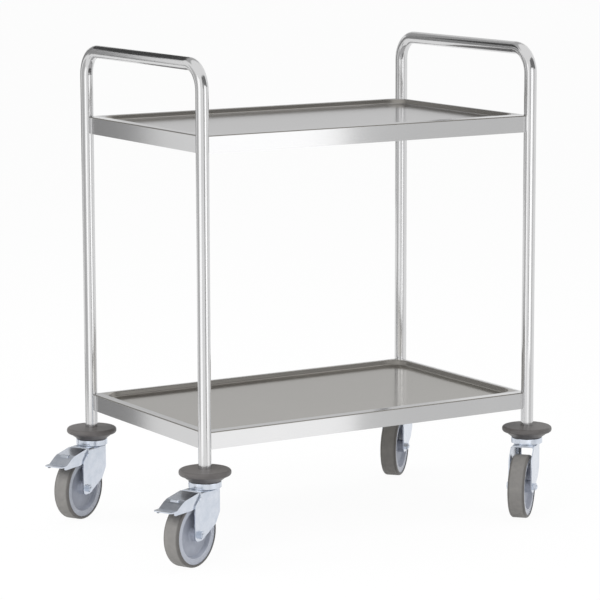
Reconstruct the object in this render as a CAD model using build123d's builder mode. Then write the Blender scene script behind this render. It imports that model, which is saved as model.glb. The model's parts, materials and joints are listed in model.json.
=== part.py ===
from build123d import *
import math
import os

os.makedirs("parts", exist_ok=True)

# Two-tier serving cart. All sizes in millimetres.
# The origin is on the floor, midway between the four posts.
# +X runs along the shelves to the right, +Y to the back, +Z up.

# Cart as a whole
post_spacing_x = 750.0
post_spacing_y = 460.0
handle_top = 950.0
upper_rim_height = 806.0
lower_rim_height = 246.0

# Bent tubes of the two end frames
tube_diameter = 25.0
tube_wall = 1.5
bend_radius = 48.0

# Pressed sheet shelves
sheet = 1.2
apron_height = 33.0
apron_edge_radius = 2.0
rim_width = 16.0
rim_crest = 4.0
rim_rise = 2.0
well_depth = 10.0
well_wall_run = 4.0
well_corner_radius = 40.0
well_lip_radius = 3.0
well_floor_radius = 4.0
flange_width = 9.0
weld_gap = 0.1

# Gaps between pieces, and the small bevel on turned and moulded edges
seat_gap = 0.05
running_gap = 0.05
side_gap = 0.3
edge_chamfer = 1.0

# Wheels
wheel_diameter = 127.0
tyre_width = 34.0
tyre_side_height = 5.7
tyre_base_height = 8.5
tyre_shoulder_radius = 5.0
rim_face_width = 31.0
rim_lip_width = 2.0
rim_ring_width = 11.5
rim_ring_radius = 1.5
rim_slope_run = 5.0
web_thickness = 14.0
web_radius = 3.0
hub_diameter = 26.0
sleeve_diameter = 12.0
axle_diameter = 8.0
axle_hex = 13.0
axle_head_height = 5.3
axle_nut_height = 6.5
axle_tip = 2.0

# Forks
trail = 50.0
fork_width = 48.0
fork_plate = 2.5
fork_edge_radius = 5.0
fork_front_radius = 8.0
fork_front_lap = 10.0
fork_front_apron = 8.0
crown_headroom = 14.0
crown_front = 20.0
crown_back = 42.0
leg_back = 16.0
leg_shoulder = 2.0
leg_shoulder_drop = 6.5
leg_knee_drop = 22.0
leg_round = 12.0
leg_tip = 11.5
leg_tip_round = 10.0

# Swivel bearings and stems
ball_diameter = 6.0
ball_count = 12
race_radius = 15.5
race_width = 8.0
race_floor = 0.9
race_height = 3.2
race_split = 1.6
head_diameter = 63.0
head_height = 11.5
head_plate = 2.5
head_skirt = 2.0
head_gap = 0.5
stem_diameter = 12.0
stem_head_diameter = 22.0
stem_head_height = 2.5
stem_reach = 34.0

# Bumper discs and leg inserts
bumper_diameter = 100.0
bumper_edge = 11.5
bumper_edge_radius = 5.0
bumper_neck = 10.5
bumper_neck_diameter = 60.0
bumper_cone_diameter = 88.0
bumper_crown = 1.0
post_recess = 3.5
insert_length = 42.0

# Brakes. The slant is the upright depth through the sloping top, per unit of sheet
pedal_sheet = 1.8
pedal_slant = 1.15
pedal_pin_diameter = 5.0
pedal_pin_head = 9.0
pedal_pin_head_height = 1.5
pedal_pin_back = 2.0
pedal_pin_lift = 4.0
pedal_ear = 7.5
pedal_gap = 8.0
pedal_fold_reach = 43.0
pedal_fold_lift = 9.5
pedal_drop_reach = 53.0
pedal_drop_lift = 5.0
pedal_lip_reach = 69.0
pedal_lip_drop = 5.0
pedal_lip_length = 18.0
pedal_lip_round = 5.0
pedal_cheek_reach = 76.0
pedal_cheek_back = 20.0
pedal_cheek_drop = 13.0
pedal_fold_round = 20.0
pedal_lip_bend = 4.0
pedal_cheek_round = 3.0
pedal_waist_round = 15.0
pedal_ear_round = 6.0
pedal_ridge_reach = 45.0
pedal_ridge_lift = 6.4
pedal_ridge_radius = 5.0
pedal_ridge_width = 18.0
pedal_ridge_round = 1.5
pedal_travel = 7.5
shoe_width = 28.0
shoe_length = 16.0
shoe_direction = 62.0

# Where each caster stands, which way its wheel trails, and whether it has a brake
casters = {
    "front_left": (-1, -1, -155.4, True),
    "front_right": (1, -1, -137.4, False),
    "back_left": (-1, 1, -151.8, True),
    "back_right": (1, 1, -137.4, False),
}

# Heights that follow from the stack above the floor
wheel_radius = wheel_diameter / 2
axle_height = wheel_radius
crown_underside = wheel_diameter + crown_headroom
crown_top = crown_underside + fork_plate
ball_height = crown_top + race_floor + seat_gap + ball_diameter / 2
head_top = crown_top + head_gap + head_height
bumper_under = head_top + bumper_neck
bumper_top = bumper_under + bumper_edge
post_end = bumper_top + bumper_crown - post_recess
stem_top = post_end + stem_reach
bar_height = handle_top - tube_diameter / 2
tube_bore = tube_diameter - 2 * tube_wall
fork_half = fork_width / 2
fork_inside = fork_half - fork_plate
pin_x = trail - pedal_pin_back
pin_height = wheel_diameter + pedal_pin_lift
pedal_depth = pedal_slant * pedal_sheet
axle_plane = Plane((trail, 0, axle_height))
axle_line = Axis((trail, 0, axle_height), (0, 1, 0))


def end_frame(centre_x):
    """Bent tube with two posts and the handle bar between them."""
    half = post_spacing_y / 2
    corners = [(-half, post_end), (-half, bar_height), (half, bar_height), (half, post_end)]
    with BuildPart() as tube:
        with BuildLine(Plane.YZ.offset(centre_x)):
            FilletPolyline(*corners, radius=bend_radius)
        with BuildSketch(Plane.XY.offset(post_end)):
            with Locations((centre_x, -half)):
                Circle(tube_diameter / 2)
                Circle(tube_bore / 2, mode=Mode.SUBTRACT)
        sweep()
    return tube


def rounded_well(top, growth):
    """Block of a shelf well, grown sideways: rounded plan, walls sloping in to the floor."""
    length = post_spacing_x - 2 * rim_width + 2 * growth
    width = post_spacing_y - 2 * rim_width + 2 * growth
    slope = math.degrees(math.atan2(well_wall_run, well_depth))
    with BuildPart() as well:
        with BuildSketch(Plane.XY.offset(top)):
            RectangleRounded(length, width, well_corner_radius + growth)
        extrude(amount=-well_depth, taper=slope)
        floor_edges = well.faces().sort_by(Axis.Z)[0].edges()
        fillet(floor_edges, well_floor_radius + growth)
    return well.part


def rim_block(base, edge_height, inset):
    """Block of a shelf, set in sideways, whose top rises from the outer fold to the crest."""
    slope_run = rim_width - rim_crest
    fold = edge_height + rim_rise * inset / slope_run
    with BuildPart() as block:
        with BuildSketch(Plane.XY.offset(base)):
            Rectangle(post_spacing_x - 2 * inset, post_spacing_y - 2 * inset)
        extrude(amount=fold - base)
        with BuildSketch(Plane.XY.offset(fold)):
            Rectangle(post_spacing_x - 2 * inset, post_spacing_y - 2 * inset)
        with BuildSketch(Plane.XY.offset(edge_height + rim_rise)):
            Rectangle(post_spacing_x - 2 * slope_run, post_spacing_y - 2 * slope_run)
        loft(ruled=True)
        fold_edges = block.edges().group_by(Axis.Z)[-3]
        fillet(fold_edges, apron_edge_radius - inset)
    return block.part


def shelf(rim_height):
    """Pressed tray, cut round the four posts and open underneath."""
    base = rim_height - apron_height
    crest = rim_height + rim_rise
    with BuildPart() as hollow:
        add(rim_block(base + sheet, rim_height - sheet, sheet))
        add(rounded_well(crest - sheet, sheet), mode=Mode.SUBTRACT)
        lip = hollow.faces().sort_by(Axis.Z)[-1].inner_wires()[0]
        fillet(lip.edges(), well_lip_radius - sheet)
        with BuildSketch(Plane.XY.offset(base)):
            Rectangle(post_spacing_x - 2 * flange_width, post_spacing_y - 2 * flange_width)
        extrude(amount=sheet)
    with BuildPart() as tray:
        add(rim_block(base, rim_height, 0))
        add(rounded_well(crest, 0), mode=Mode.SUBTRACT)
        lip = tray.faces().sort_by(Axis.Z)[-1].inner_wires()[0]
        fillet(lip.edges(), well_lip_radius)
        add(hollow.part, mode=Mode.SUBTRACT)
        with Locations(Plane.XY.offset(base + apron_height / 2)):
            with GridLocations(post_spacing_x, post_spacing_y, 2, 2):
                Cylinder(tube_diameter / 2 + weld_gap, 2 * apron_height, mode=Mode.SUBTRACT)
    return tray


def leg_inserts():
    """Four plugs in the lower ends of the posts, one above each caster."""
    with BuildPart() as plugs:
        with BuildSketch(Plane.XY.offset(post_end)):
            with GridLocations(post_spacing_x, post_spacing_y, 2, 2):
                Circle(tube_bore / 2 - seat_gap)
        extrude(amount=insert_length)
        rims = plugs.edges().filter_by(GeomType.CIRCLE).group_by(Axis.Z)
        chamfer(rims[-1] + rims[0], edge_chamfer)
        with BuildSketch(Plane.XY.offset(post_end)):
            with GridLocations(post_spacing_x, post_spacing_y, 2, 2):
                Circle(stem_diameter / 2 + seat_gap)
        extrude(amount=stem_reach + seat_gap, mode=Mode.SUBTRACT)
    return plugs


def bumper():
    """Round disc with a full edge, a neck below and a recess for the post."""
    bore = stem_diameter / 2 + seat_gap
    seat = tube_diameter / 2 + seat_gap
    edge = bumper_diameter / 2
    with BuildPart() as disc:
        with BuildSketch(Plane.XZ) as profile:
            with BuildLine():
                Polyline(
                    (bore, head_top),
                    (bumper_neck_diameter / 2, head_top),
                    (bumper_cone_diameter / 2, bumper_under),
                    (edge, bumper_under),
                    (edge, bumper_top),
                    (seat + bumper_crown, bumper_top + bumper_crown),
                    (seat, bumper_top + bumper_crown),
                    (seat, post_end),
                    (bore, post_end),
                    close=True,
                )
            make_face()
            rim = profile.vertices().group_by(Axis.X)[-1]
            fillet(rim, bumper_edge_radius)
        revolve(axis=Axis.Z)
    return disc


def swivel_head():
    """Round cup that covers the balls, with the upper race inside."""
    bore = stem_diameter / 2 + seat_gap
    outer = head_diameter / 2
    plate_under = head_top - head_plate
    race_under = crown_top + race_height + race_split
    with BuildPart() as head:
        with BuildSketch(Plane.XZ) as profile:
            with BuildLine():
                Polyline(
                    (bore, head_top),
                    (outer, head_top),
                    (outer, crown_top + head_gap),
                    (outer - head_skirt, crown_top + head_gap),
                    (outer - head_skirt, plate_under),
                    (race_radius + race_width / 2, plate_under),
                    (race_radius + race_width / 2, race_under),
                    (race_radius - race_width / 2, race_under),
                    (race_radius - race_width / 2, plate_under),
                    (bore, plate_under),
                    close=True,
                )
            make_face()
            crown = profile.vertices().group_by(Axis.X)[-1].sort_by(Axis.Y)[-1]
            fillet(crown, head_skirt)
            with Locations((race_radius, ball_height)):
                Circle(ball_diameter / 2 + side_gap, mode=Mode.SUBTRACT)
        revolve(axis=Axis.Z)
    return head


def stem():
    """Shaft through head, bumper and insert, riveted over below the fork crown."""
    under = crown_underside - side_gap - stem_head_height
    with BuildPart() as shaft:
        with BuildSketch(Plane.XY.offset(under)):
            Circle(stem_head_diameter / 2)
        extrude(amount=stem_head_height)
        fillet(shaft.edges().group_by(Axis.Z)[0], stem_head_height / 2)
        with BuildSketch(Plane.XY.offset(under)):
            Circle(stem_diameter / 2)
        extrude(amount=stem_top - under)
        chamfer(shaft.edges().group_by(Axis.Z)[-1], edge_chamfer)
    return shaft


def ball_ring():
    """Balls that carry the head on the fork."""
    with BuildPart() as balls:
        with Locations(Plane.XY.offset(ball_height)):
            with PolarLocations(race_radius, ball_count):
                Sphere(ball_diameter / 2)
    return balls


def fork_outline():
    """Side view of crown and legs, as corners with their rounding radii."""
    back = trail + leg_back
    tip = axle_height - leg_tip
    knee = wheel_diameter - leg_knee_drop
    return [
        ((-crown_front, crown_top), 0),
        ((crown_back, crown_top), 0),
        ((back - leg_shoulder, wheel_diameter - leg_shoulder_drop), leg_round),
        ((back, knee), leg_round),
        ((back, tip), leg_tip_round),
        ((trail - leg_tip / 2, tip), leg_tip_round / 2),
        ((0, axle_height + leg_tip), leg_round),
        ((-crown_front, knee), leg_round),
    ]


def fork(with_brake):
    """Pressed crown and two legs, open behind, with the lower ball race on top."""
    length = crown_front + trail + leg_back
    points = [point for point, radius in fork_outline()]
    radii = [radius for point, radius in fork_outline()]
    with BuildPart() as cavity:
        with BuildSketch(Plane.YZ.offset(-crown_front)) as inside:
            with Locations((0, crown_underside)):
                Rectangle(2 * fork_inside, crown_underside, align=(Align.CENTER, Align.MAX))
            fillet(inside.vertices().group_by(Axis.Z)[-1], fork_edge_radius - fork_plate)
        extrude(amount=2 * length)
        with BuildSketch() as inner_plan:
            with Locations((-crown_front + fork_plate, 0)):
                Rectangle(2 * length, 2 * fork_inside, align=(Align.MIN, Align.CENTER))
            fillet(inner_plan.vertices().group_by(Axis.X)[0], fork_front_radius - fork_plate)
        extrude(amount=crown_top, mode=Mode.INTERSECT)
    with BuildPart() as body:
        with BuildSketch(Plane.XZ):
            with BuildLine():
                FilletPolyline(*points, radius=radii, close=True)
            make_face()
        extrude(amount=fork_half, both=True)
        with BuildSketch(Plane.YZ.offset(-crown_front)) as section:
            with Locations((0, crown_top)):
                Rectangle(fork_width, crown_top, align=(Align.CENTER, Align.MAX))
            fillet(section.vertices().group_by(Axis.Z)[-1], fork_edge_radius)
        extrude(amount=length, mode=Mode.INTERSECT)
        with BuildSketch() as plan:
            with Locations((-crown_front, 0)):
                Rectangle(length, fork_width, align=(Align.MIN, Align.CENTER))
            fillet(plan.vertices().group_by(Axis.X)[0], fork_front_radius)
        extrude(amount=crown_top, mode=Mode.INTERSECT)
        add(cavity.part, mode=Mode.SUBTRACT)
        with BuildSketch():
            with Locations((-crown_front, 0)):
                Rectangle(crown_front, fork_width - 2 * fork_front_lap)
        extrude(amount=crown_underside - fork_front_apron, mode=Mode.SUBTRACT)
        with BuildSketch(Plane.XZ) as race:
            with Locations((race_radius, crown_top)):
                Rectangle(race_width, race_height, align=(Align.CENTER, Align.MIN))
            with Locations((race_radius, ball_height)):
                Circle(ball_diameter / 2 + seat_gap, mode=Mode.SUBTRACT)
        revolve(axis=Axis.Z)
        with BuildSketch():
            Circle(stem_diameter / 2 + running_gap)
        extrude(amount=head_top, mode=Mode.SUBTRACT)
        with BuildSketch(Plane.XZ):
            with Locations((trail, axle_height)):
                Circle(axle_diameter / 2 + seat_gap)
            if with_brake:
                with Locations((pin_x, pin_height)):
                    Circle(pedal_pin_diameter / 2 + seat_gap)
        extrude(amount=fork_width, both=True, mode=Mode.SUBTRACT)
    return body


def axle_sleeve():
    """Tube clamped between the legs, on which the wheel turns."""
    with BuildPart() as sleeve:
        with BuildSketch(Plane.XZ):
            with Locations((trail, axle_height)):
                Circle(sleeve_diameter / 2)
                Circle(axle_diameter / 2 + seat_gap, mode=Mode.SUBTRACT)
        extrude(amount=fork_inside, both=True)
    return sleeve


def axle_bolt():
    """Hexagon bolt through both legs and the sleeve."""
    thread_end = fork_half + axle_nut_height + axle_tip
    with BuildPart() as bolt:
        with BuildSketch(Plane.XZ.offset(fork_half)):
            with Locations((trail, axle_height)):
                RegularPolygon(axle_hex / 2, 6, major_radius=False)
        extrude(amount=axle_head_height)
        with BuildSketch(Plane.XZ.offset(fork_half)):
            with Locations((trail, axle_height)):
                Circle(axle_diameter / 2)
        extrude(amount=-(fork_half + thread_end))
        chamfer(bolt.edges().group_by(Axis.Y)[-1], edge_chamfer)
    return bolt


def axle_nut():
    """Hexagon nut on the far end of the axle bolt."""
    with BuildPart() as nut:
        with BuildSketch(Plane.XZ.offset(-fork_half)):
            with Locations((trail, axle_height)):
                RegularPolygon(axle_hex / 2, 6, major_radius=False)
                Circle(axle_diameter / 2 + seat_gap, mode=Mode.SUBTRACT)
        extrude(amount=-axle_nut_height)
    return nut


def wheel_profile():
    """Half section of the wheel centre, as corners with their rounding radii."""
    bore = sleeve_diameter / 2 + running_gap
    hub_half = fork_inside - side_gap
    lip = wheel_radius - tyre_side_height
    seat = wheel_radius - tyre_base_height
    ring = lip - rim_ring_width
    face = rim_face_width / 2
    web = web_thickness / 2
    return [
        ((bore, 0), 0),
        ((bore, hub_half), 0),
        ((hub_diameter / 2, hub_half), edge_chamfer),
        ((hub_diameter / 2, web), web_radius),
        ((ring - rim_slope_run, web), web_radius),
        ((ring, face), rim_ring_radius),
        ((lip, face), 0),
        ((lip, face - rim_lip_width), 0),
        ((seat, face - rim_lip_width), 0),
        ((seat, 0), 0),
    ]


def wheel_centre():
    """Moulded wheel: hub, web set back behind a flat ring, and a channel for the tyre."""
    points = [point for point, radius in wheel_profile()]
    radii = [radius for point, radius in wheel_profile()]
    with BuildPart() as wheel:
        with BuildSketch(axle_plane):
            with BuildLine():
                FilletPolyline(*points, radius=radii, close=True)
            make_face()
            mirror(about=Plane.XZ)
        revolve(axis=axle_line)
    return wheel


def tyre():
    """Rubber tread that sits in the rim channel and laps over both lips."""
    seat = wheel_radius - tyre_base_height + seat_gap
    lip = wheel_radius - tyre_side_height + seat_gap
    channel = rim_face_width / 2 - rim_lip_width - seat_gap
    with BuildPart() as ring:
        with BuildSketch(axle_plane) as section:
            with Locations(((lip + wheel_radius) / 2, 0)):
                Rectangle(wheel_radius - lip, tyre_width)
            fillet(section.vertices().group_by(Axis.X)[-1], tyre_shoulder_radius)
            with Locations(((seat + lip) / 2, 0)):
                Rectangle(lip - seat, 2 * channel)
        revolve(axis=axle_line)
    return ring


def pedal_top():
    """Upper line of the released pedal from the crown to the foot lip, seen from the side."""
    return [
        (crown_back + pedal_gap, crown_top),
        (trail + pedal_fold_reach, wheel_diameter + pedal_fold_lift),
        (trail + pedal_drop_reach, wheel_diameter + pedal_drop_lift),
        (trail + pedal_lip_reach, wheel_diameter - pedal_lip_drop),
    ]


def lowered(points, drop):
    """The same points, moved down."""
    return [(x, z - drop) for x, z in points]


def ridge(radius, width):
    """Round bar across the pedal, half sunk in its sloping top where the foot presses."""
    with BuildPart() as bar:
        with BuildSketch(Plane.XZ):
            with Locations((trail + pedal_ridge_reach, wheel_diameter + pedal_ridge_lift)):
                Circle(radius)
        extrude(amount=width / 2, both=True)
        rims = bar.edges().filter_by(GeomType.CIRCLE).group_by(Axis.Y)
        fillet(rims[0] + rims[-1], pedal_ridge_round)
    return bar


def brake_pedal():
    """Pressed channel that straddles the wheel: top with a ridge, two cheeks and a foot lip."""
    top = pedal_top()
    lip_height = top[-1][1]
    lip_start = top[-1][0]
    cheek_under = wheel_diameter - pedal_cheek_drop
    cheek_end = trail + pedal_cheek_reach
    outside = fork_inside - side_gap
    inner = lowered(top, pedal_depth)
    outline = [
        (top[0], 0),
        (top[1], pedal_fold_round),
        (top[2], pedal_fold_round),
        (top[3], pedal_lip_bend),
        ((cheek_end, lip_height), 0),
        ((cheek_end, cheek_under), pedal_cheek_round),
        ((trail + pedal_cheek_back, cheek_under), pedal_waist_round),
        ((pin_x, pin_height - pedal_ear), pedal_ear_round),
        ((pin_x - pedal_ear, pin_height), pedal_ear_round),
    ]
    points = [point for point, radius in outline]
    radii = [radius for point, radius in outline]
    with BuildPart() as pedal:
        with BuildSketch(Plane.XZ):
            with BuildLine():
                FilletPolyline(*points, radius=radii, close=True)
            make_face()
        extrude(amount=outside, both=True)
        add(ridge(pedal_ridge_radius, pedal_ridge_width).part)
        with BuildSketch(Plane.XZ):
            with BuildLine():
                Polyline(
                    (-crown_front, inner[0][1]),
                    *inner,
                    (2 * cheek_end, inner[-1][1]),
                    (2 * cheek_end, 0),
                    (-crown_front, 0),
                    close=True,
                )
            make_face()
        extrude(amount=outside - pedal_sheet, both=True, mode=Mode.SUBTRACT)
        hollow = ridge(pedal_ridge_radius - pedal_sheet, pedal_ridge_width - 2 * pedal_sheet)
        add(hollow.part, mode=Mode.SUBTRACT)
        lip_length = pedal_lip_length + pedal_depth
        with BuildSketch(Plane.XY.offset(lip_height - pedal_depth)) as lip:
            with Locations((lip_start - pedal_depth, 0)):
                Rectangle(lip_length, 2 * outside, align=(Align.MIN, Align.CENTER))
            fillet(lip.vertices().group_by(Axis.X)[-1], pedal_lip_round)
        extrude(amount=pedal_depth)
        with BuildSketch(Plane.XZ):
            with Locations((pin_x, pin_height)):
                Circle(pedal_pin_diameter / 2 + running_gap)
        extrude(amount=fork_width, both=True, mode=Mode.SUBTRACT)
    return pedal


def released(x, z):
    """Where a point of the pressed pedal lies when the pedal is let go."""
    angle = math.radians(pedal_travel)
    dx = x - pin_x
    dz = z - pin_height
    return (
        pin_x + dx * math.cos(angle) - dz * math.sin(angle),
        pin_height + dx * math.sin(angle) + dz * math.cos(angle),
    )


def brake_shoe():
    """Block under the pedal whose face meets the tread when the pedal is down."""
    angle = math.radians(shoe_direction)
    reach = wheel_radius + side_gap
    face_x = trail + reach * math.cos(angle)
    face_z = axle_height + reach * math.sin(angle)
    along_x = math.sin(angle) * shoe_length / 2
    along_z = -math.cos(angle) * shoe_length / 2
    back = released(face_x - along_x, face_z - along_z)
    front = released(face_x + along_x, face_z + along_z)
    (start_x, start_z), (fold_x, fold_z) = lowered(pedal_top(), pedal_depth)[:2]
    slope = (fold_z - start_z) / (fold_x - start_x)
    with BuildPart() as shoe:
        with BuildSketch(Plane.XZ):
            with BuildLine():
                Polyline(
                    back,
                    front,
                    (front[0], start_z + slope * (front[0] - start_x)),
                    (back[0], start_z + slope * (back[0] - start_x)),
                    close=True,
                )
            make_face()
        extrude(amount=shoe_width / 2, both=True)
    return shoe


def pedal_pin():
    """Rivet through both legs, on which the pedal turns."""
    with BuildPart() as pin:
        with BuildSketch(Plane.XZ):
            with Locations((pin_x, pin_height)):
                Circle(pedal_pin_diameter / 2)
        extrude(amount=fork_half + pedal_pin_head_height, both=True)
        for side in (-1, 1):
            with BuildSketch(Plane.XZ.offset(side * fork_half)):
                with Locations((pin_x, pin_height)):
                    Circle(pedal_pin_head / 2)
            extrude(amount=side * pedal_pin_head_height)
        rims = pin.edges().filter_by(GeomType.CIRCLE).group_by(Axis.Y)
        fillet(rims[0] + rims[-1], pedal_pin_head_height / 2)
    return pin


frame_left = end_frame(-post_spacing_x / 2)
frame_left.part.label = "frame_left"
export_step(frame_left.part, "parts/frame_left.step")

frame_right = end_frame(post_spacing_x / 2)
frame_right.part.label = "frame_right"
export_step(frame_right.part, "parts/frame_right.step")

upper_shelf = shelf(upper_rim_height)
upper_shelf.part.label = "upper_shelf"
export_step(upper_shelf.part, "parts/upper_shelf.step")

lower_shelf = shelf(lower_rim_height)
lower_shelf.part.label = "lower_shelf"
export_step(lower_shelf.part, "parts/lower_shelf.step")

inserts = leg_inserts()
inserts.part.label = "leg_inserts"
export_step(inserts.part, "parts/leg_inserts.step")

# Every caster is built about its stem with the wheel trailing along +X, then turned and placed
common = {
    "bumper": bumper(),
    "swivel_head": swivel_head(),
    "stem": stem(),
    "ball_ring": ball_ring(),
    "axle_sleeve": axle_sleeve(),
    "axle_bolt": axle_bolt(),
    "axle_nut": axle_nut(),
    "wheel_centre": wheel_centre(),
    "tyre": tyre(),
}
plain = {"fork": fork(with_brake=False)}
braked = {
    "fork": fork(with_brake=True),
    "brake_pedal": brake_pedal(),
    "brake_shoe": brake_shoe(),
    "pedal_pin": pedal_pin(),
}

for corner, (side_x, side_y, heading, has_brake) in casters.items():
    stem_x = side_x * post_spacing_x / 2
    stem_y = side_y * post_spacing_y / 2
    place = Location((stem_x, stem_y, 0), (0, 0, heading))
    pieces = common | (braked if has_brake else plain)
    for name, piece in pieces.items():
        placed = piece.part.moved(place)
        placed.label = f"{corner}_{name}"
        export_step(placed, f"parts/{placed.label}.step")
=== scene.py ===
# %% [markdown]
# # A two-tier serving cart in Blender
# The cart is bent steel tube with two pressed shelves, and it rolls on four casters.
# Its rigid shapes come ready made as a frame of nodes that ride on bodies.
# What is left for Blender is the finish of each metal, plastic and rubber, the studio and the camera.

# %% Load the frame
import json
import math

import bmesh
import bpy
from mathutils import Matrix, Vector


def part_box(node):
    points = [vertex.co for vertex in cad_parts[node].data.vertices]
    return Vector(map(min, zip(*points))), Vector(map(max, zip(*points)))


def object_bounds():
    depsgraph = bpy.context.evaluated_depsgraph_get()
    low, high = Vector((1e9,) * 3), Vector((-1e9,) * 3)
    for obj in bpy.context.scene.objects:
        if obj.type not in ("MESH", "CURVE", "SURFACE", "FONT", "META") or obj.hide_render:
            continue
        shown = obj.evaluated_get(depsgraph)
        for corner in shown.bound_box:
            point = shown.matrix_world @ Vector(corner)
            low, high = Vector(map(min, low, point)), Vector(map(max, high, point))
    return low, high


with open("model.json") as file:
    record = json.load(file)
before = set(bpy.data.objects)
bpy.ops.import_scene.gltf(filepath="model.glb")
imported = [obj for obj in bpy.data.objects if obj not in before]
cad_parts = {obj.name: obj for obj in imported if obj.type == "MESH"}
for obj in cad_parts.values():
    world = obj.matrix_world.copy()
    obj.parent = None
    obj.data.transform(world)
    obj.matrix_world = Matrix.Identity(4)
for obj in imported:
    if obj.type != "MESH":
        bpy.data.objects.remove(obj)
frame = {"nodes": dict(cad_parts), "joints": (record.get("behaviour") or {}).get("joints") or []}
cad_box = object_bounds()
nodes = frame["nodes"]
low, high = (tuple(round(c, 3) for c in corner) for corner in cad_box)
print(len(nodes), "nodes from", low, "to", high)

# %% [markdown]
# ## Colours
# Colours are written as they would be picked from a picture, in sRGB hex.
# A shader wants linear light, so one function turns the hex into that.

# %% Colour helper
def linear(hex_colour):
    """The linear colour, with full alpha, of an sRGB hex such as C8C8C6."""
    parts = [int(hex_colour[i:i + 2], 16) / 255 for i in (0, 2, 4)]
    return [*(c / 12.92 if c <= 0.04045 else ((c + 0.055) / 1.055) ** 2.4 for c in parts), 1.0]


print("mid grey 808080 is", round(linear("808080")[0], 3), "in linear light")

# %% [markdown]
# ## Nodes
# A material is a small tree of nodes.
# One function adds a node, gives it its settings, and fills or links its inputs.
# An input goes by its name, or by its number where two inputs share a name.
# The colours of a Mix node do that: they are inputs 6 and 7, and output 2.

# %% Node helper
def add(tree, kind, inputs=None, **settings):
    """Adds a node, gives it its settings, and fills or links its inputs."""
    made = tree.nodes.new(kind)
    for name, value in settings.items():
        setattr(made, name, value)
    for name, value in (inputs or {}).items():
        if isinstance(value, bpy.types.NodeSocket):
            tree.links.new(value, made.inputs[name])
        else:
            made.inputs[name].default_value = value
    return made


print("helper ready:", add.__name__)

# %% [markdown]
# ## A material's beginning and end
# Every finish begins with an empty tree and ends with one principled shader.

# %% Material helpers
def new_material(name):
    """An empty material and its node tree."""
    material = bpy.data.materials.new(name)
    material.use_nodes = True
    material.node_tree.nodes.clear()
    return material, material.node_tree


def finish_surface(material, inputs):
    """The principled shader and the output that every finish ends with."""
    tree = material.node_tree
    shader = add(tree, "ShaderNodeBsdfPrincipled", inputs)
    add(tree, "ShaderNodeOutputMaterial", {"Surface": shader.outputs["BSDF"]})
    print(material.name, "has", len(tree.nodes), "nodes")
    return material


print("helpers ready:", new_material.__name__, finish_surface.__name__)

# %% [markdown]
# ## Patterns
# Every finish varies a little over the piece: clouds in a plating, lines from a belt, the grain of a mould.
# Each of these is noise on the piece's own coordinates, and its size is given in real millimetres.
# A stretch of less than one along an axis draws the cells out along it, which makes lines.
# Where spots should stand apart instead of fading, the middle of the noise is spread over its full range.

# %% Pattern helpers
def pattern(tree, cell_mm, stretch=(1, 1, 1), detail=4.0):
    """Noise with cells of so many millimetres, on the piece's own coordinates."""
    place = add(tree, "ShaderNodeTexCoord").outputs["Object"]
    drawn = add(tree, "ShaderNodeMapping", {"Vector": place, "Scale": stretch}).outputs["Vector"]
    noise = add(tree, "ShaderNodeTexNoise", {
        "Vector": drawn,
        "Scale": 1000 / cell_mm,
        "Detail": detail,
    })
    return noise.outputs["Fac"]


def spots(tree, noise, full_at=0.75):
    """The same noise with its middle range spread out, so that spots stand apart."""
    spread = add(tree, "ShaderNodeMapRange", {"Value": noise, "From Min": 0.3, "From Max": full_at})
    return spread.outputs["Result"]


print("a cell of 15 mm is a noise scale of", round(1000 / 15, 1))

# %% [markdown]
# ## Stainless tube
# The two end frames are welded stainless tube, bent cold and then belt polished along its length.
# That leaves an even, bright grey metal with faint lines that run the way the tube runs.
# The real lines are about 0.1 mm apart, too fine to show.
# They are drawn 1 mm apart: cells of 16 mm, squeezed 16 times across the tube.
# The posts stand up and the handle bars lie along Y, so the lines change direction in the bends.

# %% Stainless tube finish
def polished_stainless_tube(bends_from, bends_to):
    material, tree = new_material("polished_stainless_tube")
    along_posts = pattern(tree, 16, (16, 16, 0.6))
    along_bars = pattern(tree, 16, (16, 0.6, 16))
    place = add(tree, "ShaderNodeTexCoord").outputs["Object"]
    height = add(tree, "ShaderNodeSeparateXYZ", {"Vector": place}).outputs["Z"]
    on_bar = add(tree, "ShaderNodeMapRange", {
        "Value": height,
        "From Min": bends_from,
        "From Max": bends_to,
    }).outputs["Result"]
    grain = add(tree, "ShaderNodeMix", {0: on_bar, 2: along_posts, 3: along_bars}).outputs[0]
    clouds = pattern(tree, 110, detail=2.0)
    tint = add(tree, "ShaderNodeMix", {
        0: clouds, 6: linear("CDCDCE"), 7: linear("D6D6D6"),
    }, data_type="RGBA")
    rough = add(tree, "ShaderNodeMapRange", {"Value": grain, "To Min": 0.11, "To Max": 0.19})
    bump = add(tree, "ShaderNodeBump", {"Height": grain, "Strength": 0.05, "Distance": 0.0002})
    return finish_surface(material, {
        "Base Color": tint.outputs[2],
        "Metallic": 1.0,
        "Roughness": rough.outputs["Result"],
        "Normal": bump.outputs["Normal"],
    })


tube_steel = polished_stainless_tube(bends_from=0.900, bends_to=0.925)

# %% [markdown]
# ## Where a point of a shelf lies
# The parts of a pressed shelf have had different wear, and its walls and fold take painted shade, so the
# finish needs to know them.
# A point inside the lip of the well, seen from above, belongs to the well.
# Of these, the ones above its floor are wall.
# The fold is the outermost 2 mm of the rim, at the height where it turns down into the apron.
# All distances are in metres: out from the middle of the shelf, or down from the crest of its rim.

# %% Shelf masks
well_lip = {"X": 0.3590, "Y": 0.2140}
rim_fold = {"X": 0.3730, "Y": 0.2280}
lip_blend, fold_blend = 0.0015, 0.0008
floor_depths = (0.0098, 0.0088)
lip_depths = (0.0002, 0.0012)
turn_depths = (0.0040, 0.0030)


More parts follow.
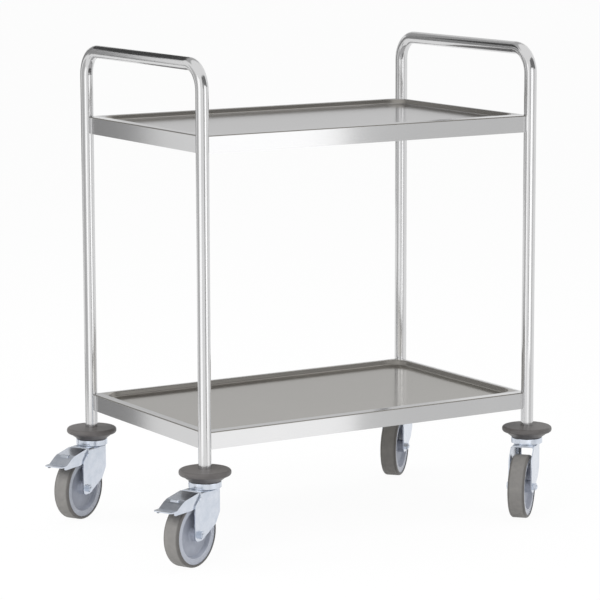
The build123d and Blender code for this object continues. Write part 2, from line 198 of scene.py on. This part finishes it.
def outside(tree, place, half_sizes, blend):
    """One outside a rectangle about the middle, seen from above, and zero inside it."""
    past = []
    for axis, half in half_sizes.items():
        out = add(tree, "ShaderNodeMath", {0: place[axis]}, operation="ABSOLUTE").outputs["Value"]
        past.append(add(tree, "ShaderNodeMapRange", {
            "Value": out,
            "From Min": half,
            "From Max": half + blend,
        }).outputs["Result"])
    both = add(tree, "ShaderNodeMath", {0: past[0], 1: past[1]}, operation="MAXIMUM")
    return both.outputs["Value"]


def shelf_masks(tree, crest):
    """Masks of a shelf: its rim and aprons, and its walls and fold, which are stretched and painted darker
    as shade.
    """
    coordinates = add(tree, "ShaderNodeTexCoord").outputs["Object"]
    place = add(tree, "ShaderNodeSeparateXYZ", {"Vector": coordinates}).outputs
    rim = outside(tree, place, well_lip, lip_blend)
    edge = outside(tree, place, rim_fold, fold_blend)
    over_floor, under_lip, turn = (
        add(tree, "ShaderNodeMapRange", {
            "Value": place["Z"],
            "From Min": crest - start,
            "From Max": crest - end,
        }).outputs["Result"]
        for start, end in (floor_depths, lip_depths, turn_depths)
    )
    in_wall = add(tree, "ShaderNodeMath", {0: over_floor, 1: under_lip}, operation="MULTIPLY")
    in_well = add(tree, "ShaderNodeMath", {0: 1.0, 1: rim}, operation="SUBTRACT")
    wall = add(tree, "ShaderNodeMath", {
        0: in_wall.outputs["Value"], 1: in_well.outputs["Value"],
    }, operation="MULTIPLY")
    fold = add(tree, "ShaderNodeMath", {0: edge, 1: turn}, operation="MULTIPLY")
    # The walls and the fold: rougher from the pressing, and painted darker as shade.
    stretched_and_painted_shade = add(tree, "ShaderNodeMath", {
        0: wall.outputs["Value"], 1: fold.outputs["Value"],
    }, operation="MAXIMUM")
    return rim, stretched_and_painted_shade.outputs["Value"]


print("the well lies inside", well_lip, "and the fold outside", rim_fold)

# %% [markdown]
# ## Stainless sheet
# The shelves are pressed from sheet that came from the mill with a satin brushing along its length.
# The brushing is 0.2 mm apart, again too fine to show, and is drawn near 1 mm.
# The rim and the aprons have been rubbed brighter by hands and cloths; the wells keep more of the satin.
# Pressing stretched the sheet in the walls of the well and along the outer fold, which left it rougher
# there.
# These places are also painted a darker grey, as shade.

# %% Stainless sheet finish
def satin_stainless_sheet(name, crest, well_low, well_high):
    material, tree = new_material(name)
    rim, stretched_and_painted_shade = shelf_masks(tree, crest)
    brushing = pattern(tree, 11, (0.5, 14, 14))
    clouds = pattern(tree, 160, detail=3.0)
    worn, satin = (
        add(tree, "ShaderNodeMix", {
            0: clouds, 6: linear(darker), 7: linear(lighter),
        }, data_type="RGBA").outputs[2]
        for darker, lighter in (("CBCBCC", "D1D1D1"), (well_low, well_high))
    )
    flat = add(tree, "ShaderNodeMix", {0: rim, 6: satin, 7: worn}, data_type="RGBA").outputs[2]
    # Painted shade: the walls of the well and the outer fold are painted the darker grey 93908B.
    tint = add(tree, "ShaderNodeMix", {
        0: stretched_and_painted_shade, 6: flat, 7: linear("93908B"),
    }, data_type="RGBA")
    smooth = add(tree, "ShaderNodeMapRange", {"Value": brushing, "To Min": 0.10, "To Max": 0.18})
    rough = add(tree, "ShaderNodeMix", {0: stretched_and_painted_shade, 2: smooth.outputs["Result"], 3: 0.36})
    bump = add(tree, "ShaderNodeBump", {"Height": brushing, "Strength": 0.04, "Distance": 0.0002})
    return finish_surface(material, {
        "Base Color": tint.outputs[2],
        "Metallic": 1.0,
        "Roughness": rough.outputs[0],
        "Normal": bump.outputs["Normal"],
    })


upper_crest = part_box("upper_shelf")[1].z
lower_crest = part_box("lower_shelf")[1].z
upper_sheet = satin_stainless_sheet("satin_stainless_sheet_upper", upper_crest, "BFBEBF", "C5C4C5")
lower_sheet = satin_stainless_sheet("satin_stainless_sheet_lower", lower_crest, "BBB8B2", "C1BEB8")
print("rims crest at", round(upper_crest, 4), "and", round(lower_crest, 4))

# %% [markdown]
# ## Zinc-plated steel
# Forks, swivel heads and pedals are pressed steel with a bright, bluish zinc plating.
# Plating follows the rolled steel under it.
# It is faintly cloudy in patches of some 15 mm, and never a mirror.

# %% Zinc plating finish
def bright_zinc_plating():
    material, tree = new_material("bright_zinc_plating")
    clouds = pattern(tree, 15, detail=2.0)
    rolled = pattern(tree, 1.4, detail=2.0)
    tint = add(tree, "ShaderNodeMix", {
        0: spots(tree, clouds, full_at=0.7), 6: linear("CCD3DE"), 7: linear("D8DDE6"),
    }, data_type="RGBA")
    rough = add(tree, "ShaderNodeMapRange", {"Value": clouds, "To Min": 0.20, "To Max": 0.26})
    bump = add(tree, "ShaderNodeBump", {"Height": rolled, "Strength": 0.03, "Distance": 0.0001})
    return finish_surface(material, {
        "Base Color": tint.outputs[2],
        "Metallic": 1.0,
        "Roughness": rough.outputs["Result"],
        "Normal": bump.outputs["Normal"],
    })


zinc = bright_zinc_plating()

# %% [markdown]
# ## Hardened balls
# The balls of the swivel races are ground and hardened steel, brighter and smoother than the plating.
# A film of grease leaves a haze in spots of 2 to 3 mm.

# %% Ball finish
def ground_ball_steel():
    material, tree = new_material("ground_ball_steel")
    haze = pattern(tree, 2.5, detail=2.0)
    tint = add(tree, "ShaderNodeMix", {
        0: haze, 6: linear("C4C4C6"), 7: linear("D2D2D4"),
    }, data_type="RGBA")
    rough = add(tree, "ShaderNodeMapRange", {"Value": haze, "To Min": 0.05, "To Max": 0.14})
    return finish_surface(material, {
        "Base Color": tint.outputs[2],
        "Metallic": 1.0,
        "Roughness": rough.outputs["Result"],
    })


ball_steel = ground_ball_steel()

# %% [markdown]
# ## Moulded plastics
# The bumper discs are a tough dark grey plastic, and the wheel centres a light grey polypropylene.
# Both come from a mould with a fine spark-eroded grain, which breaks up the highlights.
# The grain is about 0.3 mm and is drawn at 0.6 mm.
# Knocks and handling leave them slightly paler in blotches of about 15 mm.

# %% Plastic finishes
def moulded_plastic(name, dark, light, rough_low, rough_high, grain_strength):
    material, tree = new_material(name)
    scuffs = pattern(tree, 15, detail=5.0)
    grain = pattern(tree, 0.6, detail=2.0)
    tint = add(tree, "ShaderNodeMix", {
        0: spots(tree, scuffs), 6: linear(dark), 7: linear(light),
    }, data_type="RGBA")
    rough = add(tree, "ShaderNodeMapRange", {
        "Value": scuffs, "To Min": rough_low, "To Max": rough_high,
    })
    bump = add(tree, "ShaderNodeBump", {
        "Height": grain, "Strength": grain_strength, "Distance": 0.0001,
    })
    return finish_surface(material, {
        "Base Color": tint.outputs[2],
        "Roughness": rough.outputs["Result"],
        "Normal": bump.outputs["Normal"],
    })


bumper_plastic = moulded_plastic("moulded_bumper_plastic", "565352", "605D5C", 0.40, 0.50, 0.15)
insert_plastic = moulded_plastic("moulded_insert_plastic", "262524", "302F2E", 0.45, 0.60, 0.25)
shoe_plastic = moulded_plastic("moulded_shoe_plastic", "2B2A29", "383635", 0.50, 0.65, 0.30)

# %% [markdown]
# ## Where a point of a wheel lies
# A wheel's finish follows its own shape: how far out from the axle a point lies, and how far along it.
# The wheels stand turned, each its own way, and the joint they roll on tells the middle and the axle.
# A Mapping node set to Texture moves that middle to zero and turns the axle to X.
# Without its part along X, the length of what is left is the distance out.

# %% Wheel helper
rolls = {joint["child"]: joint for joint in frame["joints"] if joint["name"].endswith("_roll")}


def from_axle(tree, wheel):
    """How far out from a wheel's axle a point lies, and how far along it, in metres."""
    axis = rolls[wheel]["axis"]
    place = add(tree, "ShaderNodeTexCoord").outputs["Object"]
    turned = add(tree, "ShaderNodeMapping", {
        "Vector": place,
        "Location": rolls[wheel]["pos_m"],
        "Rotation": (0, 0, math.atan2(axis[1], axis[0])),
    }, vector_type="TEXTURE").outputs["Vector"]
    flat = add(tree, "ShaderNodeVectorMath", {0: turned, 1: (0, 1, 1)}, operation="MULTIPLY")
    out = add(tree, "ShaderNodeVectorMath", {0: flat.outputs["Vector"]}, operation="LENGTH")
    side = add(tree, "ShaderNodeSeparateXYZ", {"Vector": turned}).outputs["X"]
    along = add(tree, "ShaderNodeMath", {0: side}, operation="ABSOLUTE")
    return out.outputs["Value"], along.outputs["Value"]


for wheel, joint in rolls.items():
    print(wheel, "rolls about", tuple(round(c, 3) for c in joint["pos_m"]))

# %% [markdown]
# ## Wheel centres
# The wheel centre is moulded in polypropylene, which keeps a slightly waxy, bluish grey.
# Its outer ring, from 46 mm out, is polished in the mould.
# The dish inside it has the spark-eroded grain, and it is painted a shade darker as the shade in its recess.

# %% Wheel centre finish
def moulded_polypropylene_wheel(wheel):
    material, tree = new_material("moulded_polypropylene_" + wheel)
    out, _ = from_axle(tree, wheel)
    ring = add(tree, "ShaderNodeMapRange", {
        "Value": out, "From Min": 0.0455, "From Max": 0.0468,
    }).outputs["Result"]
    scuffs = spots(tree, pattern(tree, 15, detail=5.0))
    grain = pattern(tree, 0.6, detail=2.0)
    # Painted shade: the recessed dish is painted darker, A3A8B5 to AEB3BF, than the ring.
    dish_painted_shade_tint, ring_tint = (
        add(tree, "ShaderNodeMix", {
            0: scuffs, 6: linear(darker), 7: linear(lighter),
        }, data_type="RGBA").outputs[2]
        for darker, lighter in (("A3A8B5", "AEB3BF"), ("B5BAC6", "BFC4CF"))
    )
    tint = add(tree, "ShaderNodeMix", {0: ring, 6: dish_painted_shade_tint, 7: ring_tint}, data_type="RGBA")
    rough = add(tree, "ShaderNodeMapRange", {"Value": ring, "To Min": 0.46, "To Max": 0.32})
    bump = add(tree, "ShaderNodeBump", {"Height": grain, "Strength": 0.15, "Distance": 0.0001})
    return finish_surface(material, {
        "Base Color": tint.outputs[2],
        "Roughness": rough.outputs["Result"],
        "Normal": bump.outputs["Normal"],
    })


wheel_finishes = {wheel: moulded_polypropylene_wheel(wheel) for wheel in rolls}

# %% [markdown]
# ## Grey tread rubber
# The tyres are a grey non-marking rubber, matt, with a soft sheen where it is seen at a low angle.
# The strip that rolls on the floor, 24 mm wide, is scuffed, so it is rougher; it is also painted paler, as
# light on the crown of the tread.
# The shoulders and sides are painted darker, as shade.
# Dust lies in patches of about 11 mm, and pores near 0.7 mm.

# %% Tyre finish
def grey_tread_rubber(wheel):
    material, tree = new_material("grey_tread_rubber_" + wheel)
    _, along = from_axle(tree, wheel)
    scuffed_and_painted_light_strip = add(tree, "ShaderNodeMapRange", {
        "Value": along, "From Min": 0.0145, "From Max": 0.0115,
    }).outputs["Result"]
    dust = spots(tree, pattern(tree, 11, detail=3.0))
    pores = pattern(tree, 0.7, detail=2.0)
    shoulder_painted_shade_tint, tread_painted_light_tint = (
        add(tree, "ShaderNodeMix", {
            0: dust, 6: linear(darker), 7: linear(lighter),
        }, data_type="RGBA").outputs[2]
        for darker, lighter in (("62605E", "686664"), ("7E7C7A", "878582"))
    )
    # Painted light and shade: the tread strip is painted paler, 7E7C7A to 878582, and the shoulders and
    # sides darker, 62605E to 686664.
    tint = add(tree, "ShaderNodeMix", {0: scuffed_and_painted_light_strip, 6: shoulder_painted_shade_tint, 7: tread_painted_light_tint}, data_type="RGBA")
    rough = add(tree, "ShaderNodeMapRange", {"Value": scuffed_and_painted_light_strip, "To Min": 0.42, "To Max": 0.55})
    bump = add(tree, "ShaderNodeBump", {"Height": pores, "Strength": 0.15, "Distance": 0.0001})
    return finish_surface(material, {
        "Base Color": tint.outputs[2],
        "Roughness": rough.outputs["Result"],
        "Specular IOR Level": 0.35,
        "Normal": bump.outputs["Normal"],
    })


tyre_finishes = {wheel: grey_tread_rubber(wheel) for wheel in rolls}

# %% [markdown]
# ## Giving the finishes to the nodes
# A node's name ends in what it is, so a short table from ending to finish dresses all four casters at once.
# The tyres and wheel centres take the finish made for their own wheel.

# %% Dress the nodes
finish_of = {
    "frame_left": tube_steel, "frame_right": tube_steel,
    "upper_shelf": upper_sheet, "lower_shelf": lower_sheet, "leg_inserts": insert_plastic,
    "bumper": bumper_plastic, "swivel_head": zinc, "stem": zinc, "ball_ring": ball_steel,
    "fork": zinc, "axle_sleeve": zinc, "axle_bolt": zinc, "axle_nut": zinc,
    "brake_pedal": zinc, "brake_shoe": shoe_plastic, "pedal_pin": zinc,
}
for wheel in rolls:
    finish_of[wheel + "_centre"] = wheel_finishes[wheel]
    finish_of[wheel.replace("_wheel", "_tyre")] = tyre_finishes[wheel]
for name, piece in nodes.items():
    ending = next(e for e in finish_of if name.endswith(e))
    piece.data.materials.clear()
    piece.data.materials.append(finish_of[ending])
print("dressed", len(nodes), "nodes in", len(set(finish_of.values())), "finishes")

# %% [markdown]
# ## The camera
# The photograph was taken from well back with a long lens, a little above the upper shelf and to the left.
# Its place was worked out by matching straight edges of the cart, so only turning and placing it is left.
# The fit gives the focal length in pixels of a picture 600 pixels wide, as wide as the camera's sensor.

# %% Camera
def look_from(place, azimuth, down, roll, lens):
    """A camera that looks along an azimuth from +Y towards +X, tipped down and rolled, in degrees."""
    made = bpy.data.objects.new("camera", bpy.data.cameras.new("camera"))
    made.data.lens = lens
    made.data.clip_end = 60.0
    turn = Matrix.Rotation(math.radians(-azimuth), 4, "Z")
    tip = Matrix.Rotation(math.radians(90 - down), 4, "X")
    bank = Matrix.Rotation(math.radians(roll), 4, "Z")
    made.matrix_world = Matrix.Translation(Vector(place)) @ turn @ tip @ bank
    bpy.context.scene.collection.objects.link(made)
    return made


focal_pixels = 2805.6
frame_pixels = 600
sensor_mm = 36
lens_mm = focal_pixels / frame_pixels * sensor_mm
camera = look_from((-2.9394, -4.7184, 1.3325), azimuth=31.734, down=9.161, roll=-0.141, lens=lens_mm)
bpy.context.scene.camera = camera
print("lens of", round(camera.data.lens, 1), "mm on a sensor of", camera.data.sensor_width, "mm")

# %% [markdown]
# ## What is seen and what only lights
# Floor and world have one brightness where they are seen, and another where they light the cart.
# A ray from the camera, off a glossy surface or through a clear one is a look.

# %% Look helper
def is_a_look(tree):
    """One for a straight look or a reflection, and zero for light on its way to a matt surface."""
    rays = add(tree, "ShaderNodeLightPath").outputs
    looks = rays["Is Camera Ray"]
    for other in ("Is Glossy Ray", "Is Transmission Ray"):
        looks = add(tree, "ShaderNodeMath", {0: looks, 1: rays[other]}, operation="MAXIMUM").outputs["Value"]
    return looks


print("helper ready:", is_a_look.__name__)

# %% [markdown]
# ## Floor
# A white studio floor would clip if the lamps alone had to make it white.
# So where it is seen it is mostly a white of its own, and the rest stays matt and keeps the shadow.

# %% Floor
def pale_floor(own_white=0.95):
    material, tree = new_material("pale_studio_floor")
    share = add(tree, "ShaderNodeMath", {0: is_a_look(tree), 1: own_white}, operation="MULTIPLY")
    matt = add(tree, "ShaderNodeBsdfDiffuse", {"Color": linear("F4F4F4")})
    white = add(tree, "ShaderNodeEmission", {"Color": linear("FFFFFF"), "Strength": 1.0})
    mixed = add(tree, "ShaderNodeMixShader", {
        0: share.outputs["Value"], 1: matt.outputs["BSDF"], 2: white.outputs["Emission"],
    })
    add(tree, "ShaderNodeOutputMaterial", {"Surface": mixed.outputs["Shader"]})
    return material


floor_mesh = bmesh.new()
bmesh.ops.create_grid(floor_mesh, x_segments=1, y_segments=1, size=20)
floor_data = bpy.data.meshes.new("floor")
floor_mesh.to_mesh(floor_data)
floor_mesh.free()
floor = bpy.data.objects.new("floor", floor_data)
floor.data.materials.append(pale_floor())
bpy.context.scene.collection.objects.link(floor)
print("floor of", floor.dimensions.x, "by", floor.dimensions.y, "m")

# %% [markdown]
# ## World
# The world is white where it is seen, straight or in the steel, and dimmer where it lights the cart.
# That keeps the background white while pale surfaces stay below white.

# %% World
lighting_level, seen_level = 0.55, 1.0
world = bpy.data.worlds.new("studio")
bpy.context.scene.world = world
world.use_nodes = True
sky = world.node_tree
sky.nodes.clear()
level = add(sky, "ShaderNodeMapRange", {
    "Value": is_a_look(sky), "To Min": lighting_level, "To Max": seen_level,
})
glow = add(sky, "ShaderNodeBackground", {
    "Color": linear("FFFFFF"), "Strength": level.outputs["Result"],
})
add(sky, "ShaderNodeOutputWorld", {"Surface": glow.outputs["Background"]})
print("world lights at", lighting_level, "and is seen at", seen_level)

# %% [markdown]
# ## Cards for the reflections
# Steel shows its surroundings more than its own colour, so the studio is part of its finish.
# A photographer stands white and black cards around such a piece, which give tubes their bands.
# These cards are seen only in reflections: they neither light the cart nor stand in the picture.

# %% Card helper
def card_mesh(name, corner, across, up):
    """A rectangle from a corner, with its two sides as vectors."""
    sheet = bmesh.new()
    bmesh.ops.create_grid(sheet, x_segments=1, y_segments=1, size=0.5)
    sides = Matrix((across, up, across.cross(up).normalized())).transposed().to_4x4()
    placed = Matrix.Translation(corner + (across + up) / 2) @ sides
    bmesh.ops.transform(sheet, matrix=placed, verts=sheet.verts)
    data = bpy.data.meshes.new(name)
    sheet.to_mesh(data)
    sheet.free()
    return data


def reflection_card(name, corner, across, up, strength):
    """A flat card of even brightness that only reflections see."""
    across, up = Vector(across), Vector(up)
    made = bpy.data.objects.new(name, card_mesh(name, Vector(corner), across, up))
    material, tree = new_material(name)
    light = add(tree, "ShaderNodeEmission", {"Color": linear("FFFFFF"), "Strength": strength})
    add(tree, "ShaderNodeOutputMaterial", {"Surface": light.outputs["Emission"]})
    made.data.materials.append(material)
    made.visible_camera = False
    made.visible_diffuse = False
    made.visible_shadow = False
    bpy.context.scene.collection.objects.link(made)
    print(name, "is", round(across.length, 2), "by", round(up.length, 2), "m at", strength)


print("helpers ready:", card_mesh.__name__, reflection_card.__name__)

# %% [markdown]
# ## Cards in front and to the left
# The posts and aprons mirror what stands in front of the cart, a little below their own height.
# The bright cards make the light bands on the posts and the light end of the long aprons.
# The dark ones between and beside them make the dark bands, and the shade on the end aprons.

# %% Front and left cards
reflection_card("bright_card_left", (-1.27, -0.20, 0.0), (0.13, -0.55, 0), (0, 0, 1.4), 1.50)
reflection_card("bright_card_front", (-0.14, -1.32, 0.0), (0.78, 0, 0), (0, 0, 1.2), 1.62)
reflection_card("bright_card_low_front", (-0.10, -0.78, 0.0), (0.42, 0, 0), (0, 0, 0.22), 1.32)
reflection_card("grey_card_low_front", (0.32, -0.78, 0.0), (0.50, 0, 0), (0, 0, 0.22), 0.78)
reflection_card("grey_card_front", (0.64, -1.32, 0.0), (0.76, 0, 0), (0, 0, 1.2), 0.75)
reflection_card("dark_card_left", (-1.50, -0.10, 0.0), (0, 1.20, 0), (0, 0, 1.4), 0.60)
reflection_card("dark_card_left_back", (-1.05, 1.23, 0.3), (0, 0.67, 0), (0, 0, 0.9), 0.34)
reflection_card("dark_card_low_left", (-0.70, 0.61, 0.0), (0, 0.49, 0), (0, 0, 0.22), 0.33)
reflection_card("dark_card_front", (-0.48, -1.33, 0.0), (0.34, 0, 0), (0, 0, 1.4), 0.45)
reflection_card("dark_card_high_front", (-1.00, -3.00, 1.3), (4.60, 1.40, 0), (0, 0, 2.3), 0.22)

# %% [markdown]
# ## Cards behind and above
# The sunk floors of the shelves mirror what stands behind the cart.
# The handle bars mirror what is high behind it.
# A grey card behind takes the glare off the floors, and a darker one above it shades the bars.
# A card overhead does the same for the pedals, which slope up towards it.

# %% Back and top cards
reflection_card("grey_card_low_back", (-0.20, 2.40, 0.3), (2.80, 0, 0), (0, 0, 0.6), 0.56)
reflection_card("grey_card_back", (-0.20, 2.40, 0.9), (2.80, 0, 0), (0, 0, 0.4), 0.65)
reflection_card("dark_card_back", (-1.30, 1.95, 0.5), (0.95, 0, 0), (0, 0, 1.1), 0.30)
reflection_card("dark_card_near_back", (-0.75, 0.72, 1.18), (0.80, 0, 0), (0, 0, 0.45), 0.07)
reflection_card("grey_card_high_middle", (-1.35, 2.40, 1.6), (2.05, 0, 0), (0, 0, 1.1), 0.42)
reflection_card("grey_card_high_back", (0.70, 2.40, 1.3), (1.60, 0, 0), (0, 0, 1.4), 0.75)
reflection_card("dark_card_above", (-2.0, 0.90, 2.7), (4.0, 0, 0), (0, 1.50, 0), 0.50)

# %% [markdown]
# ## Lamps
# Large square lamps stand in for soft boxes.
# One is left of the camera, one far left, a weaker one right, and one above.
# They light plastic and rubber and cast the soft shadow, and stay out of the steel, which has its cards.

# %% Lamps
def softbox(name, place, aim, size, power):
    """A square area lamp at a place, aimed at a point."""
    made = bpy.data.objects.new(name, bpy.data.lights.new(name, "AREA"))
    made.data.size = size
    made.data.energy = power
    made.location = place
    made.rotation_mode = "QUATERNION"
    made.rotation_quaternion = (Vector(aim) - Vector(place)).to_track_quat("-Z", "Y")
    made.visible_glossy = False
    bpy.context.scene.collection.objects.link(made)
    print(name, "gives", power, "W over", size, "m")


softbox("lamp_left", (-3.0, -2.2, 2.6), (0, 0, 0.4), 2.0, 60)
softbox("lamp_far_left", (-3.4, 1.2, 1.8), (0, 0, 0.2), 2.0, 45)
softbox("lamp_right", (3.2, -2.2, 2.4), (0, 0, 0.4), 2.0, 20)
softbox("lamp_above", (0.0, 0.3, 3.6), (0, 0, 0.4), 3.0, 60)

# %% [markdown]
# ## View transform
# The standard view transform shows a colour as it was written.

# %% Finish
bpy.context.scene.view_settings.view_transform = "Standard"
